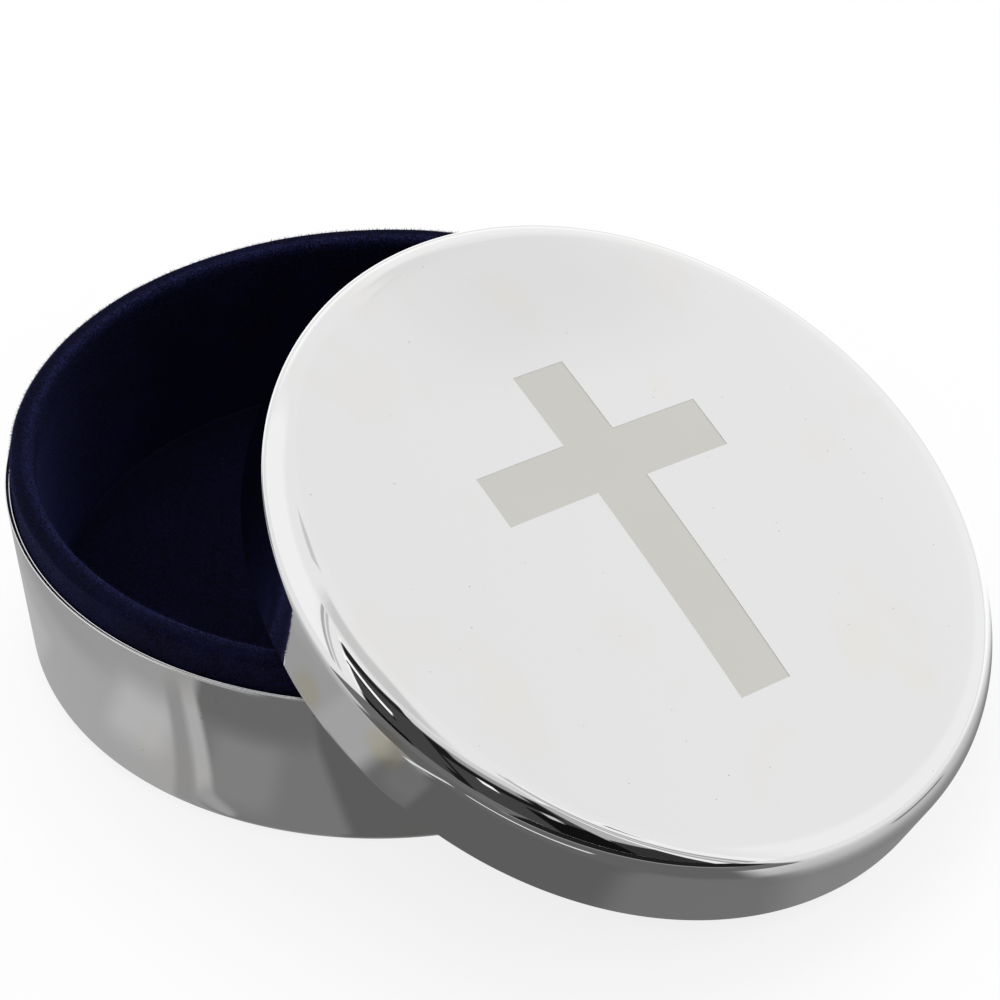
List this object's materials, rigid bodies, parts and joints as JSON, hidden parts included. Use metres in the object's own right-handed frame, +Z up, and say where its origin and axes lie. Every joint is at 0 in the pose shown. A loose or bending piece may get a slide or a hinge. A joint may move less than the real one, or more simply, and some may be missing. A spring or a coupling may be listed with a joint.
{
  "type": "rosary box",
  "caption": "Round metal keepsake box for a rosary: a velvet-lined base, and a lift-off lid with an engraved plain cross that leans on the base's lip.",
  "frame": {"origin": "centre of the base's flat underside, on the surface that the box stands on", "axes": "+Z up, out of the base's open mouth; +X towards the side where the leaning lid stands on the surface; +Y by the right-hand rule"},
  "size_m": [0.1191, 0.088, 0.0466],
  "materials": {
    "plated_metal": "polished",
    "navy_velvet": "matte",
    "grey_card": "matte",
    "white_wadding": "matte"
  },
  "bodies": {
    "base": {"base_shell": "plated_metal", "wall_card_band": "grey_card", "wall_velvet": "navy_velvet", "floor_board": "grey_card", "floor_pad": "white_wadding", "floor_velvet": "navy_velvet"},
    "lid": {"lid_shell": "plated_metal", "lid_board": "grey_card", "lid_velvet": "navy_velvet"}
  },
  "joints": [
    {"name": "lid_lift", "type": "slide", "parent": "base", "child": "lid", "axis": [0.4276, 0, 0.9039], "range_m": [0, 0.06]}
  ]
}
